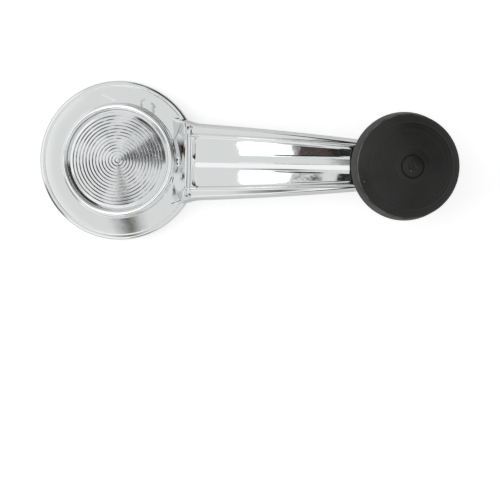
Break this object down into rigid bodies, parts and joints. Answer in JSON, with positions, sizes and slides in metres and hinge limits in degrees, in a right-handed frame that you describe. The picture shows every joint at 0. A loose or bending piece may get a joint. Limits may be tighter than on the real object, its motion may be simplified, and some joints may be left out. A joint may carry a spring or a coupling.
{
  "type": "car window winder handle",
  "caption": "Hand crank for a car window: plated hub with a grooved disc, arched ribbed arm, free-turning black knob, and a splined socket with a spring clip.",
  "frame": {"origin": "on the regulator shaft's axis, at the mouth of the splined socket on the door side", "axes": "+Z along the shaft, away from the door; +X along the arm, from the shaft to the knob; +Y to the left of the arm seen from the cabin"},
  "size_m": [0.1472, 0.0564, 0.0303],
  "materials": {
    "plating": "bright chrome plate",
    "disc_plating": "bright plate over turned grooves",
    "knob_plastic": "satin moulded plastic",
    "rivet_steel": "zinc-plated steel",
    "spring_steel": "blued spring steel"
  },
  "bodies": {
    "crank": {"crank_casting": "plating", "hub_disc": "disc_plating", "knob_rivet": "rivet_steel", "spring_washer": "spring_steel", "head_washer": "rivet_steel"},
    "knob": {"knob_body": "knob_plastic", "knob_cap": "knob_plastic"},
    "clip": {"shaft_clip": "spring_steel"}
  },
  "joints": [
    {"name": "knob_spin", "type": "hinge", "parent": "crank", "child": "knob", "pos_m": [0.1, 0, 0.01506], "axis": [0.1392, 0, 0.9903], "continuous": true},
    {"name": "clip_release", "type": "slide", "parent": "crank", "child": "clip", "axis": [-1, 0, 0], "range_m": [0, 0.0095]}
  ]
}
